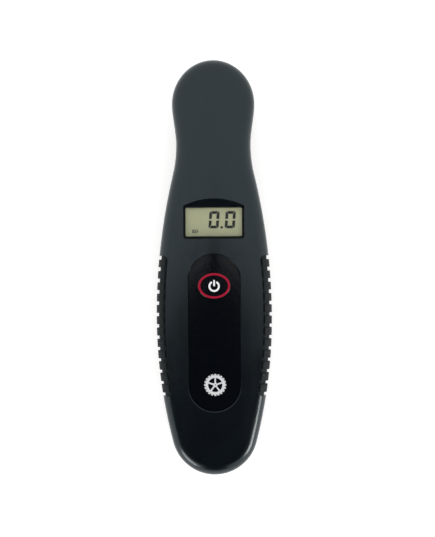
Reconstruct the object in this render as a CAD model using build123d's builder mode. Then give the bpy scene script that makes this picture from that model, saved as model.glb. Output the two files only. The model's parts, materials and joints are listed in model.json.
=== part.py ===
from build123d import *

import math
import os

# Digital tyre pressure gauge: a pocket instrument with a crowned plastic case, a liquid crystal
# display, one oval On key and a valve chuck on the back of its round head.
# Frame: millimetres, lying on its back, +Z out of the display face, +Y towards the head.
# The origin is on the resting plane under the middle of the length.
# Stations such as HEAD_AT are distances from the lower end, and along() turns them into Y.

# Outline, seen from the front
LENGTH = 150.0
WIDE_HALF, WIDE_AT = 20.85, 57.0
NECK_HALF, NECK_AT = 13.45, 119.3
HEAD_HALF, HEAD_AT = 14.93, 134.0
LOW_SIDE_RADIUS, UPPER_SIDE_RADIUS = 181.0, 220.0
NECK_PULL, HEAD_PULL = 4.9, 4.4

# Crowned faces: each is a barrel with a cross radius and a lengthwise radius
FRONT_TOP, FRONT_TOP_AT, FRONT_CROWN, FRONT_SWEEP = 23.0, 78.0, 42.0, 560.0
BACK_LOW, BACK_LOW_AT, BACK_CROWN, BACK_SWEEP = -2.1, 56.0, 45.0, 480.0
FRONT_EDGE, BACK_EDGE = 5.0, 6.0
BARREL_STEPS = 2
WALL = 2.0
JOINT_LINE = 11.5
LIP_HEIGHT, LIP_OUTER, LIP_INNER, LIP_GAP = 1.2, 1.05, 1.9, 0.1
SEAM_DEPTH, SEAM_HALF = 0.25, 0.12
BELOW, ABOVE, OVERCUT, BARREL_REACH = 15.0, 50.0, 1.0, 0.6 * LENGTH

# Side grips
GRIP_DEPTH, GRIP_BACKING, GRIP_WIDTH, GRIP_LOW = 1.6, 3.4, 3.2, 3.0
GROOVES, GROOVE_PITCH, TOP_GROOVE_AT = 13, 4.114, 78.6
GROOVE_DEPTH, GROOVE_WIDTH = 0.8, 1.35
GRIP_BORDER, BORDER_DEPTH, GRIP_CORNER = 0.7, 0.5, 1.6

# Face overlay and key
PANEL_WIDTH, PANEL_LOW_AT, PANEL_HIGH_AT, PANEL_RIM_ROUND = 18.85, 23.1, 79.75, 0.25
PANEL_FLOOR, PANEL_TOP, PANEL_GAP = 0.6, 0.12, 0.08
KEY_AT, KEY_HALF_X, KEY_HALF_Y, KEY_GAP, KEY_PROUD = 68.4, 6.0, 4.7, 0.15, 0.2
KEY_FLANGE_X, KEY_FLANGE_Y, KEY_FLANGE_TOP, KEY_FLANGE_LOW = 7.2, 5.9, 19.9, 18.6
KEY_STEM, KEY_STEM_GAP, KEY_ROUND = 2.2, 0.05, 0.3

# Display window
WINDOW_WIDTH, WINDOW_LOW_AT, WINDOW_HIGH_AT, WINDOW_CORNER = 21.9, 85.3, 97.0, 1.0
LENS_TOP, LENS_THICK, LENS_GAP = 21.1, 1.0, 0.05
SLOPE_RISE, SLOPE_RUN = 2.9, 1.89
WINDOW_BLOCK_SHIFT, WINDOW_BLOCK_EXTRA = 0.6, 3.6
SIGHT_WIDTH, SIGHT_LOW_AT, SIGHT_HIGH_AT = 20.8, 86.1, 96.5
WINDOW_BLOCK_LOW = 19.0
DISPLAY_WIDTH, DISPLAY_HEIGHT, DISPLAY_LEDGE = 22.6, 13.0, 1.4
DISPLAY_LOW, DISPLAY_TOP = 16.9, 18.9
REFLECTOR_HEIGHT, REFLECTOR_THICK = 8.2, 0.2
STRIP_WIDTH, STRIP_LENGTH, STRIP_OFFSET = 2.0, 22.0, 5.4
HOLDER_WALL, HOLDER_GAP, HOLDER_TOP = 0.95, 0.05, 18.5

# Circuit board and what it carries
BOARD_LOW, BOARD_TOP = 12.8, 14.0
BOARD_HALF, BOARD_LOW_AT, BOARD_HIGH_AT, BOARD_CORNER = 13.0, 28.0, 101.0, 2.0
BOARD_POST_X, BOARD_POSTS_AT, BOARD_POST_RADIUS, BOARD_POST_HOLE = 11.0, (33.0, 80.0), 2.0, 0.85
BOARD_SCREW_HEAD, BOARD_SCREW_HEAD_HIGH, BOARD_SCREW_LONG, BOARD_HOLE = 1.7, 1.1, 3.6, 1.0
BOARD_SCREW_SHANK, SCREW_TIP_ROOM = 0.8, 0.3
CHIP_AT, CHIP_RADIUS, CHIP_HIGH = 50.0, 5.5, 1.6
CRYSTAL_X, CRYSTAL_AT, CRYSTAL_RADIUS, CRYSTAL_LONG = 8.5, 36.5, 1.0, 6.0
COMPONENTS, COMPONENT_RING, COMPONENT_START = 8, 8.6, 22.5
COMPONENT_LONG, COMPONENT_WIDE, COMPONENT_HIGH = 2.0, 1.25, 0.8
SWITCH_SIDE, SWITCH_TOP, SWITCH_FLOOR, SWITCH_LID, SWITCH_ROOM = 6.0, 17.5, 14.6, 0.6, 0.15
PLUNGER_RADIUS, PLUNGER_TOP, PLUNGER_FLANGE, PLUNGER_FLANGE_HIGH = 1.7, 18.3, 2.15, 0.8
DOME_RADIUS, DOME_HIGH, DOME_SHEET = 2.1, 0.8, 0.15
SENSOR_AT, SENSOR_SIDE, SENSOR_DEEP = 95.0, 7.0, 3.4
PORT_RADIUS, PORT_BORE, PORT_Z, PORT_LENGTH = 1.2, 0.5, 11.3, 6.0
TUBE_OUTER, TUBE_START, TUBE_END, NIPPLE_END = 2.1, 26.3, 49.5, 46.5
TUBE_NOTCH_WIDE, TUBE_NOTCH_HIGH = 3.0, 1.4

# Case screws
CASE_SCREWS = ((9.5, 16.5), (9.3, 106.0))
POST_RADIUS, HEAD_HOLE, HEAD_SEAT, SHANK_HOLE = 3.6, 2.5, 7.0, 1.35
BOSS_RADIUS, PILOT = 2.6, 1.15
SCREW_HEAD, SCREW_HEAD_HIGH, SCREW_SHANK, SCREW_TIP = 2.2, 1.6, 1.1, 15.6
RECESS_WIDE, RECESS_DEEP = 0.5, 0.8

# Valve chuck
NOZZLE_RADIUS, NOZZLE_FLANGE, FLANGE_LOW, FLANGE_TOP = 7.2, 9.0, 7.0, 8.6
VALVE_BORE, VALVE_MOUTH, SEAL_LOW, SEAL_TOP, SEAL_RADIUS, SEAL_HOLE = 4.1, 0.6, 5.0, 7.4, 5.4, 2.0
SHROUD_LOW_RADIUS, SHROUD_TOP_RADIUS, SHROUD_GAP = 9.0, 10.2, 0.15
NOZZLE_CHAMFER = 0.5
CAP_TOP, CAP_FLANGE_TOP, CAP_RADIUS, CAP_SPIGOT, CAP_GALLERY = 13.4, 10.0, 5.2, 5.3, 3.4
CAP_ROOF, NIPPLE_INSET = 1.0, 0.5
PIN_RADIUS, PIN_TIP, PIN_DISC_LOW, PIN_DISC_TOP = 0.9, 5.05, 7.5, 8.1
PIN_VENTS, PIN_VENT_RADIUS, PIN_VENT_OUT = 3, 0.6, 2.1
RING_INNER = 7.6

# Coin cell and its twist cover
CELL_AT, CELL_RADIUS, CELL_LOW, CELL_STEP, CELL_TOP, CELL_CAP = 47.0, 10.0, 5.05, 7.95, 8.25, 8.8
WELL_WALL, WELL_RADIUS, WELL_TOP = 13.8, 10.7, 9.0
COVER_RADIUS, COVER_LOW, COVER_TOP, COVER_RECESS, COVER_LEDGE = 12.25, 0.3, 1.5, 12.4, 1.9
COVER_RING_OUTER, COVER_RING_INNER, COVER_RING_TOP = 10.5, 8.8, 5.0
LUGS, LUG_RADIUS, LUG_LOW, LUG_TOP, LUG_SWEEP = 3, 12.0, 3.3, 4.5, 24.0
TRACK_RADIUS, TRACK_LOW, TRACK_TOP, TRACK_MARGIN, COVER_TURN = 12.2, 3.1, 4.7, 3.0, 50.0
TRACK_SWEEP = COVER_TURN + LUG_SWEEP + TRACK_MARGIN
ENTRY_SWEEP = LUG_SWEEP + 2 * TRACK_MARGIN
COVER_CHAMFER, CONTACT_NOTCH = 0.4, 6.0
GASKET_INNER, GASKET_OUTER, GASKET_TOP = 10.9, 12.0, 1.88
COIN_SLOT_LONG, COIN_SLOT_WIDE, COIN_SLOT_DEEP = 15.0, 2.0, 0.7
CONTACT_SHEET, CONTACT_WIDE = 0.3, 4.0
MINUS_PAD_START, MINUS_PAD_END, MINUS_FOOT, MINUS_TIP = -8.0, -14.0, -25.0, -31.0
PLUS_EDGE, PLUS_PAD = -38.0, 4.0

os.makedirs("parts", exist_ok=True)


def along(station):
    """Y of a station measured from the lower end."""
    return station - LENGTH / 2


# Centres of the long side arcs, the end arc and the neck arc, all tangent to each other
LOW_SIDE_X = WIDE_HALF - LOW_SIDE_RADIUS
UPPER_SIDE_X = WIDE_HALF - UPPER_SIDE_RADIUS
END_RADIUS = (LOW_SIDE_RADIUS**2 - LOW_SIDE_X**2 - WIDE_AT**2) / (2 * (LOW_SIDE_RADIUS - WIDE_AT))
NECK_RISE = NECK_AT - WIDE_AT
NECK_RADIUS = ((UPPER_SIDE_X - NECK_HALF) ** 2 + NECK_RISE**2 - UPPER_SIDE_RADIUS**2) / (
    2 * (UPPER_SIDE_RADIUS - NECK_HALF + UPPER_SIDE_X)
)
QUARTER_PULL = 4 / 3 * (math.sqrt(2) - 1)


def toward(centre, target, distance):
    """The point at a distance from centre in the direction of target."""
    step_x, step_y = target[0] - centre[0], target[1] - centre[1]
    reach = math.hypot(step_x, step_y)
    return (centre[0] + step_x / reach * distance, centre[1] + step_y / reach * distance)


def middle_of_arc(centre, radius, start, end):
    """The middle point of the shorter arc from start to end."""
    halfway = ((start[0] + end[0]) / 2, (start[1] + end[1]) / 2)
    return toward(centre, halfway, radius)


def outline(inset=0.0):
    """The case outline moved inwards by inset, as one sketch."""
    low_centre, upper_centre = (LOW_SIDE_X, WIDE_AT), (UPPER_SIDE_X, WIDE_AT)
    end_centre, neck_centre = (0, END_RADIUS), (NECK_HALF + NECK_RADIUS, NECK_AT)
    low_radius, upper_radius = LOW_SIDE_RADIUS - inset, UPPER_SIDE_RADIUS - inset
    bottom = (0, inset)
    foot = toward(low_centre, end_centre, low_radius)
    wide = (WIDE_HALF - inset, WIDE_AT)
    shoulder = toward(upper_centre, neck_centre, upper_radius)
    neck = (NECK_HALF - inset, NECK_AT)
    head = (HEAD_HALF - inset, HEAD_AT)
    tip = (0, LENGTH - inset)
    rise = tip[1] - HEAD_AT
    with BuildSketch() as region:
        with BuildLine():
            for side in (1, -1):

                def place(point):
                    return (side * point[0], along(point[1]))

                def arc(centre, radius, start, end):
                    middle = middle_of_arc(centre, radius, start, end)
                    ThreePointArc(place(start), place(middle), place(end))

                arc(end_centre, END_RADIUS - inset, bottom, foot)
                arc(low_centre, low_radius, foot, wide)
                arc(upper_centre, upper_radius, wide, shoulder)
                arc(neck_centre, NECK_RADIUS + inset, shoulder, neck)
                neck_handle = (neck[0], neck[1] + NECK_PULL)
                head_handle = (head[0], head[1] - HEAD_PULL)
                Bezier(place(neck), place(neck_handle), place(head_handle), place(head))
                side_handle = (head[0], HEAD_AT + QUARTER_PULL * rise)
                tip_handle = (QUARTER_PULL * head[0], tip[1])
                Bezier(place(head), place(side_handle), place(tip_handle), place(tip))
        make_face()
    return region.sketch


def barrel(apex, station, crown, sweep, outward, depth=40.0, half=30.0):
    """A block along Y whose one face is crowned both ways, lofted through arcs of radius crown.

    The arcs' tops follow an arc of radius sweep. outward is 1 for a face that looks up, -1 for down.
    """
    drop = crown - math.sqrt(crown**2 - half**2)
    with BuildPart() as block:
        for step in range(-BARREL_STEPS, BARREL_STEPS + 1):
            place = BARREL_REACH * step / BARREL_STEPS
            sag = sweep - math.sqrt(sweep**2 - (place - along(station)) ** 2)
            top = apex - outward * sag
            with BuildSketch(Plane((0, place, 0), x_dir=(1, 0, 0), z_dir=(0, -1, 0))):
                with BuildLine():
                    ThreePointArc((-half, top - outward * drop), (0, top), (half, top - outward * drop))
                    Polyline(
                        (half, top - outward * drop),
                        (half, top - outward * depth),
                        (-half, top - outward * depth),
                        (-half, top - outward * drop),
                    )
                make_face()
        loft()
    return block.part


def rounded_body(inset):
    """The whole case form moved inwards by inset on every side."""
    front = barrel(FRONT_TOP - inset, FRONT_TOP_AT, FRONT_CROWN - inset, FRONT_SWEEP - inset, 1)
    back = barrel(BACK_LOW + inset, BACK_LOW_AT, BACK_CROWN - inset, BACK_SWEEP - inset, -1)
    region = outline(inset)
    with BuildPart() as form:
        with BuildSketch(Plane.XY.offset(-BELOW)):
            add(region)
        extrude(amount=ABOVE)
        add(front, mode=Mode.INTERSECT)
        add(back, mode=Mode.INTERSECT)
        fillet(form.faces().sort_by(Axis.Z)[-1].edges(), FRONT_EDGE - inset)
        fillet(form.faces().sort_by(Axis.Z)[0].edges(), BACK_EDGE - inset)
        with BuildSketch(Plane.XY.offset(inset)):
            Rectangle(4 * WIDE_HALF, 2 * LENGTH)
        extrude(amount=ABOVE, mode=Mode.INTERSECT)
    return form.part


def prism(region, low, high):
    """A sketch extruded straight up between two heights."""
    with BuildPart() as block:
        with BuildSketch(Plane.XY.offset(low)):
            add(region)
        extrude(amount=high - low)
    return block.part


def ring_sector(inner, outer, middle, sweep):
    """A flat ring sector about the origin, centred on the angle middle."""
    with BuildSketch() as region:
        with BuildLine():
            rim = CenterArc((0, 0), outer, middle - sweep / 2, sweep)
            bore = CenterArc((0, 0), inner, middle - sweep / 2, sweep)
            Line(rim @ 0, bore @ 0)
            Line(rim @ 1, bore @ 1)
        make_face()
    return region.sketch


def side_band(width, low_station, high_station, corner):
    """The strip of the right-hand side within width of the outline, in plan."""
    core = outline(width)
    with BuildSketch() as region:
        with Locations((WIDE_HALF, along((low_station + high_station) / 2))):
            Rectangle(2 * WIDE_HALF, high_station - low_station)
        add(core, mode=Mode.SUBTRACT)
        by_height = region.vertices().group_by(Axis.Y)
        fillet([by_height[0].sort_by(Axis.X)[0], by_height[-1].sort_by(Axis.X)[0]], corner)
    return region.sketch


def lip_ring(outside, inside, high):
    """A ring along the wall above the joint line, left out beside the grips."""
    with BuildPart() as ring:
        add(outside)
        add(inside, mode=Mode.SUBTRACT)
        with BuildSketch(Plane.XY.offset(JOINT_LINE)):
            Rectangle(4 * WIDE_HALF, 2 * LENGTH)
        extrude(amount=high, mode=Mode.INTERSECT)
        with BuildSketch(Plane.XY.offset(JOINT_LINE)):
            with Locations((0, along((GRIP_LOW_AT + GRIP_HIGH_AT) / 2))):
                Rectangle(4 * WIDE_HALF, GRIP_HIGH_AT - GRIP_LOW_AT + 3 * GRIP_BACKING)
        extrude(amount=high, mode=Mode.SUBTRACT)
    return ring.part


def seam_ring(low, high):
    """A shallow ring round the outside, which leaves a fine line where the two shells meet."""
    with BuildPart() as ring:
        with BuildSketch(Plane.XY.offset(low)):
            add(outline(-OVERCUT))
            add(outline(SEAM_DEPTH), mode=Mode.SUBTRACT)
        extrude(amount=high - low)
    return ring.part


def cap_points(radius, high, base):
    """Three points of a spherical cap's profile, from its rim to its top on the axis."""
    sphere = (radius**2 + high**2) / (2 * high)
    halfway = math.asin(radius / sphere) / 2
    middle = (sphere * math.sin(halfway), base + high - sphere * (1 - math.cos(halfway)))
    return (radius, base), middle, (0, base + high)


def window_outline(gap):
    """The display window's outline on the lens plane, drawn in by gap."""
    with BuildSketch() as region:
        with Locations((0, along((WINDOW_LOW_AT + WINDOW_HIGH_AT) / 2))):
            Rectangle(WINDOW_WIDTH - 2 * gap, WINDOW_HIGH_AT - WINDOW_LOW_AT - 2 * gap)
        fillet(region.vertices().group_by(Axis.Y)[0], WINDOW_CORNER)
    return region.sketch


def finish(piece, name):
    """Label a finished piece and write its file."""
    piece.label = name
    export_step(piece, f"parts/{name}.step")


# Places that several pieces share
GRIP_LOW_AT = TOP_GROOVE_AT - (GROOVES - 1) * GROOVE_PITCH - GROOVE_WIDTH / 2
GRIP_HIGH_AT = TOP_GROOVE_AT + GROOVE_WIDTH / 2
BACKING_EXTRA = GRIP_BACKING - GRIP_DEPTH
CELL_CENTRE = (0, along(CELL_AT))
HEAD_CENTRE = (0, along(HEAD_AT))
KEY_CENTRE = (0, along(KEY_AT))
PANEL_CENTRE = (0, along((PANEL_LOW_AT + PANEL_HIGH_AT) / 2))
DISPLAY_CENTRE = (0, along((SIGHT_LOW_AT + SIGHT_HIGH_AT) / 2))
HEAD_AXIS = Axis((*HEAD_CENTRE, 0), (0, 0, 1))
HEAD_PLANE = Plane((*HEAD_CENTRE, 0), x_dir=(1, 0, 0), z_dir=(0, -1, 0))
CELL_AXIS = Axis((*CELL_CENTRE, 0), (0, 0, 1))
CELL_PLANE = Plane((*CELL_CENTRE, 0), x_dir=(1, 0, 0), z_dir=(0, -1, 0))
KEY_AXIS = Axis((*KEY_CENTRE, 0), (0, 0, 1))
KEY_PLANE = Plane((*KEY_CENTRE, 0), x_dir=(1, 0, 0), z_dir=(0, -1, 0))
PANEL_LONG = PANEL_HIGH_AT - PANEL_LOW_AT
BOARD_POSTS = [(side * BOARD_POST_X, along(station)) for station in BOARD_POSTS_AT for side in (1, -1)]
CASE_SPOTS = [(side * out, along(station)) for out, station in CASE_SCREWS for side in (1, -1)]
LUG_ANGLES = [90 + 360 / LUGS * number for number in range(LUGS)]
SENSOR_EDGE = along(SENSOR_AT) + SENSOR_SIDE / 2

# Case forms, the grips' plain forms and the hollow inside
OUTER = rounded_body(0)
CAVITY = rounded_body(WALL)

with BuildPart() as grip_form:
    add(OUTER)
    add(rounded_body(GRIP_DEPTH), mode=Mode.SUBTRACT)
    add(
        prism(side_band(GRIP_WIDTH, GRIP_LOW_AT, GRIP_HIGH_AT, GRIP_CORNER), GRIP_LOW, FRONT_TOP),
        mode=Mode.INTERSECT,
    )

with BuildPart() as backing:
    add(
        prism(
            side_band(
                GRIP_WIDTH + BACKING_EXTRA,
                GRIP_LOW_AT - BACKING_EXTRA,
                GRIP_HIGH_AT + BACKING_EXTRA,
                GRIP_CORNER,
            ),
            -OVERCUT,
            FRONT_TOP + OVERCUT,
        )
    )
    add(rounded_body(GRIP_BACKING), mode=Mode.SUBTRACT)
    mirror(about=Plane.YZ)

with BuildPart() as hollow:
    add(CAVITY)
    add(backing.part, mode=Mode.SUBTRACT)

# Front shell: the hollow, less bosses, board posts, chuck ring and window block, then the shell
with BuildPart() as front_hollow:
    add(hollow.part)
    with BuildSketch(Plane.XY.offset(BOARD_TOP)):
        with Locations(*BOARD_POSTS):
            Circle(BOARD_POST_RADIUS)
    extrude(amount=FRONT_TOP, mode=Mode.SUBTRACT)
    with BuildSketch(Plane.XY.offset(JOINT_LINE)):
        with Locations(*CASE_SPOTS):
            Circle(BOSS_RADIUS)
        with Locations(HEAD_CENTRE):
            Circle(NOZZLE_FLANGE)
            Circle(RING_INNER, mode=Mode.SUBTRACT)
    extrude(amount=FRONT_TOP, mode=Mode.SUBTRACT)
    with BuildSketch(Plane.XY.offset(WINDOW_BLOCK_LOW)):
        with Locations((0, along((WINDOW_LOW_AT + WINDOW_HIGH_AT) / 2 + WINDOW_BLOCK_SHIFT))):
            Rectangle(
                WINDOW_WIDTH + WINDOW_BLOCK_EXTRA,
                WINDOW_HIGH_AT - WINDOW_LOW_AT + WINDOW_BLOCK_EXTRA,
            )
    extrude(amount=FRONT_TOP, mode=Mode.SUBTRACT)

with BuildPart() as panel_seat:
    with BuildSketch(Plane.XY.offset(JOINT_LINE)):
        with Locations(PANEL_CENTRE):
            SlotOverall(PANEL_LONG, PANEL_WIDTH, rotation=90)
    extrude(amount=FRONT_TOP)
    add(rounded_body(PANEL_FLOOR), mode=Mode.SUBTRACT)

under_face = rounded_body(PANEL_FLOOR / 2)

with BuildPart() as front_shell:
    add(OUTER)
    add(front_hollow.part, mode=Mode.SUBTRACT)
    with BuildSketch(Plane.XY.offset(JOINT_LINE)):
        Rectangle(4 * WIDE_HALF, 2 * LENGTH)
    extrude(amount=FRONT_TOP, mode=Mode.INTERSECT)
    add(lip_ring(rounded_body(LIP_OUTER - LIP_GAP), CAVITY, LIP_HEIGHT + LIP_GAP), mode=Mode.SUBTRACT)
    add(grip_form.part, mode=Mode.SUBTRACT)
    add(mirror(grip_form.part, about=Plane.YZ, mode=Mode.PRIVATE), mode=Mode.SUBTRACT)
    add(seam_ring(JOINT_LINE, JOINT_LINE + SEAM_HALF), mode=Mode.SUBTRACT)
    add(panel_seat.part, mode=Mode.SUBTRACT)
    seat_edges = front_shell.edges(Select.LAST).filter_by(lambda edge: edge.length > 2 * PANEL_FLOOR)
    fillet(seat_edges.filter_by(lambda edge: not under_face.is_inside(edge @ 0.5)), PANEL_RIM_ROUND)
    with BuildSketch(Plane.XY.offset(JOINT_LINE)):
        with Locations(KEY_CENTRE):
            Ellipse(KEY_HALF_X + KEY_GAP, KEY_HALF_Y + KEY_GAP)
    extrude(amount=FRONT_TOP, mode=Mode.SUBTRACT)
    # Display window: sight hole, lens seat and the slanted upper wall
    with BuildSketch(Plane.XY.offset(BOARD_TOP)):
        with Locations(DISPLAY_CENTRE):
            Rectangle(SIGHT_WIDTH, SIGHT_HIGH_AT - SIGHT_LOW_AT)
    extrude(amount=FRONT_TOP, mode=Mode.SUBTRACT)
    with BuildSketch(Plane.XY.offset(LENS_TOP - LENS_THICK)):
        add(window_outline(0))
    extrude(amount=FRONT_TOP, mode=Mode.SUBTRACT)
    with BuildSketch(Plane.YZ.offset(-WINDOW_WIDTH / 2)):
        with BuildLine():
            Polyline(
                (along(WINDOW_HIGH_AT) - OVERCUT, LENS_TOP),
                (along(WINDOW_HIGH_AT), LENS_TOP),
                (along(WINDOW_HIGH_AT) + SLOPE_RISE * SLOPE_RUN, LENS_TOP + SLOPE_RISE),
                (along(WINDOW_HIGH_AT) - OVERCUT, LENS_TOP + SLOPE_RISE),
                close=True,
            )
        make_face()
    extrude(amount=WINDOW_WIDTH, mode=Mode.SUBTRACT)
    # Pilot holes, and the notch that lets the air tube into the chuck ring
    with BuildSketch(Plane.XY.offset(BOARD_TOP)):
        with Locations(*BOARD_POSTS):
            Circle(BOARD_POST_HOLE)
    extrude(amount=BOARD_SCREW_LONG - (BOARD_TOP - BOARD_LOW) + SCREW_TIP_ROOM, mode=Mode.SUBTRACT)
    with BuildSketch(Plane.XY.offset(JOINT_LINE)):
        with Locations(*CASE_SPOTS):
            Circle(PILOT)
    extrude(amount=SCREW_TIP - JOINT_LINE + SCREW_TIP_ROOM, mode=Mode.SUBTRACT)
    with BuildSketch(Plane.XY.offset(JOINT_LINE)):
        with Locations((0, along(HEAD_AT) - NOZZLE_FLANGE)):
            Rectangle(TUBE_NOTCH_WIDE, NOZZLE_FLANGE)
    extrude(amount=TUBE_NOTCH_HIGH, mode=Mode.SUBTRACT)
finish(front_shell.part, "front_shell")

# Back shell: the hollow, less screw posts, cell well and chuck seat, then the shell
with BuildPart() as back_hollow:
    add(hollow.part)
    with BuildSketch():
        with Locations(*CASE_SPOTS):
            Circle(POST_RADIUS)
    extrude(amount=FRONT_TOP, mode=Mode.SUBTRACT)
    with BuildSketch():
        with Locations(CELL_CENTRE):
            Circle(WELL_WALL)
    extrude(amount=WELL_TOP, mode=Mode.SUBTRACT)
    with BuildSketch():
        with Locations(HEAD_CENTRE):
            Circle(SHROUD_TOP_RADIUS)
    extrude(amount=FLANGE_LOW, mode=Mode.SUBTRACT)

with BuildPart() as back_shell:
    add(OUTER)
    # Shroud round the chuck, standing on the back of the head
    with BuildSketch(HEAD_PLANE):
        with BuildLine():
            Polyline(
                (0, 0),
                (SHROUD_LOW_RADIUS, 0),
                (SHROUD_TOP_RADIUS, FLANGE_LOW),
                (0, FLANGE_LOW),
                close=True,
            )
        make_face()
    revolve(axis=HEAD_AXIS)
    add(back_hollow.part, mode=Mode.SUBTRACT)
    with BuildSketch(Plane.XY.offset(-OVERCUT)):
        Rectangle(4 * WIDE_HALF, 2 * LENGTH)
    extrude(amount=JOINT_LINE + OVERCUT, mode=Mode.INTERSECT)
    add(seam_ring(JOINT_LINE - SEAM_HALF, JOINT_LINE), mode=Mode.SUBTRACT)
    add(lip_ring(rounded_body(LIP_OUTER), rounded_body(LIP_INNER), LIP_HEIGHT))
    add(grip_form.part, mode=Mode.SUBTRACT)
    add(mirror(grip_form.part, about=Plane.YZ, mode=Mode.PRIVATE), mode=Mode.SUBTRACT)
    with BuildSketch():
        with Locations(HEAD_CENTRE):
            Circle(NOZZLE_RADIUS + SHROUD_GAP)
    extrude(amount=FLANGE_TOP, mode=Mode.SUBTRACT)
    with BuildSketch(Plane.XY.offset(FLANGE_LOW)):
        with Locations(HEAD_CENTRE):
            Circle(NOZZLE_FLANGE + SHROUD_GAP)
    extrude(amount=FLANGE_TOP, mode=Mode.SUBTRACT)
    # Cell well with the cover's recess and the three bayonet tracks
    with BuildSketch(Plane.XY):
        with Locations(CELL_CENTRE):
            Circle(COVER_RECESS)
    extrude(amount=COVER_LEDGE, mode=Mode.SUBTRACT)
    with BuildSketch(Plane.XY):
        with Locations(CELL_CENTRE):
            Circle(WELL_RADIUS)
    extrude(amount=WELL_TOP, mode=Mode.SUBTRACT)
    for angle in LUG_ANGLES:
        with BuildSketch(Plane((*CELL_CENTRE, TRACK_LOW))):
            track_middle = angle - COVER_TURN / 2
            add(ring_sector(COVER_RING_OUTER, TRACK_RADIUS, track_middle, TRACK_SWEEP))
        extrude(amount=TRACK_TOP - TRACK_LOW, mode=Mode.SUBTRACT)
        with BuildSketch(Plane((*CELL_CENTRE, COVER_LEDGE))):
            add(ring_sector(COVER_RING_OUTER, TRACK_RADIUS, angle - COVER_TURN, ENTRY_SWEEP))
        extrude(amount=TRACK_TOP - COVER_LEDGE, mode=Mode.SUBTRACT)
    with BuildSketch(Plane.XY.offset(COVER_RING_TOP)):
        with Locations((0, along(CELL_AT) - (CELL_RADIUS + WELL_WALL) / 2)):
            Rectangle(CONTACT_NOTCH, WELL_WALL - CELL_RADIUS + OVERCUT)
    extrude(amount=WELL_TOP, mode=Mode.SUBTRACT)
    # Counterbored screw holes
    with BuildSketch(Plane.XY.offset(-OVERCUT)):
        with Locations(*CASE_SPOTS):
            Circle(HEAD_HOLE)
    extrude(amount=HEAD_SEAT + OVERCUT, mode=Mode.SUBTRACT)
    with BuildSketch(Plane.XY):
        with Locations(*CASE_SPOTS):
            Circle(SHANK_HOLE)
    extrude(amount=JOINT_LINE, mode=Mode.SUBTRACT)
finish(back_shell.part, "back_shell")

# Side grips, each with a row of grooves across the side and a sunk border along the face
with BuildPart() as grooves:
    with BuildSketch():
        for number in range(GROOVES):
            with Locations((WIDE_HALF, along(TOP_GROOVE_AT - number * GROOVE_PITCH))):
                Rectangle(2 * WIDE_HALF, GROOVE_WIDTH)
    extrude(amount=FRONT_TOP)
    add(rounded_body(GROOVE_DEPTH), mode=Mode.SUBTRACT)

with BuildPart() as border:
    ribbed_width, ribbed_corner = GRIP_WIDTH - GRIP_BORDER, GRIP_CORNER - GRIP_BORDER
    with BuildSketch():
        add(side_band(GRIP_WIDTH + OVERCUT, GRIP_LOW_AT - OVERCUT, GRIP_HIGH_AT + OVERCUT, GRIP_CORNER))
        add(side_band(ribbed_width, GRIP_LOW_AT, GRIP_HIGH_AT, ribbed_corner), mode=Mode.SUBTRACT)
    extrude(amount=FRONT_TOP)
    add(rounded_body(BORDER_DEPTH), mode=Mode.SUBTRACT)

with BuildPart() as grip_right:
    add(grip_form.part)
    add(grooves.part, mode=Mode.SUBTRACT)
    add(border.part, mode=Mode.SUBTRACT)
finish(grip_right.part, "grip_right")

with BuildPart() as grip_left:
    add(mirror(grip_right.part, about=Plane.YZ, mode=Mode.PRIVATE))
finish(grip_left.part, "grip_left")

# Glossy overlay let into the face
with BuildPart() as face_overlay:
    add(rounded_body(PANEL_TOP))
    add(rounded_body(PANEL_FLOOR), mode=Mode.SUBTRACT)
    with BuildSketch(Plane.XY.offset(JOINT_LINE)):
        with Locations(PANEL_CENTRE):
            SlotOverall(PANEL_LONG - 2 * PANEL_GAP, PANEL_WIDTH - 2 * PANEL_GAP, rotation=90)
        with Locations(KEY_CENTRE):
            Ellipse(KEY_HALF_X + KEY_GAP, KEY_HALF_Y + KEY_GAP, mode=Mode.SUBTRACT)
    extrude(amount=FRONT_TOP, mode=Mode.INTERSECT)
finish(face_overlay.part, "face_overlay")

# Oval On key: cap, retaining flange and stem
with BuildPart() as on_key:
    with BuildSketch(Plane.XY.offset(KEY_FLANGE_LOW)):
        with Locations(KEY_CENTRE):
            Ellipse(KEY_HALF_X, KEY_HALF_Y)
    extrude(amount=FRONT_TOP)
    add(rounded_body(-KEY_PROUD), mode=Mode.INTERSECT)
    fillet(on_key.faces().sort_by(Axis.Z)[-1].edges(), KEY_ROUND)
    with BuildSketch(Plane.XY.offset(KEY_FLANGE_LOW)):
        with Locations(KEY_CENTRE):
            Ellipse(KEY_FLANGE_X, KEY_FLANGE_Y)
    extrude(amount=KEY_FLANGE_TOP - KEY_FLANGE_LOW)
    with BuildSketch(Plane.XY.offset(PLUNGER_TOP + KEY_STEM_GAP)):
        with Locations(KEY_CENTRE):
            Circle(KEY_STEM)
    extrude(amount=KEY_FLANGE_LOW - PLUNGER_TOP - KEY_STEM_GAP)
finish(on_key.part, "on_key")

# Clear window lens
with BuildPart() as window_lens:
    with BuildSketch(Plane.XY.offset(LENS_TOP - LENS_THICK)):
        add(window_outline(LENS_GAP))
    extrude(amount=LENS_THICK)
finish(window_lens.part, "window_lens")

# Display: two glass plates, reflector, conductive strips and their holder
with BuildPart() as lcd_glass:
    with BuildSketch(Plane.XY.offset(DISPLAY_LOW)):
        with Locations(DISPLAY_CENTRE):
            Rectangle(DISPLAY_WIDTH, DISPLAY_HEIGHT)
    extrude(amount=(DISPLAY_TOP - DISPLAY_LOW) / 2)
    with BuildSketch(Plane.XY.offset((DISPLAY_LOW + DISPLAY_TOP) / 2)):
        with Locations(DISPLAY_CENTRE):
            Rectangle(DISPLAY_WIDTH, DISPLAY_HEIGHT - DISPLAY_LEDGE)
    extrude(amount=(DISPLAY_TOP - DISPLAY_LOW) / 2)
finish(lcd_glass.part, "lcd_glass")

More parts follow.
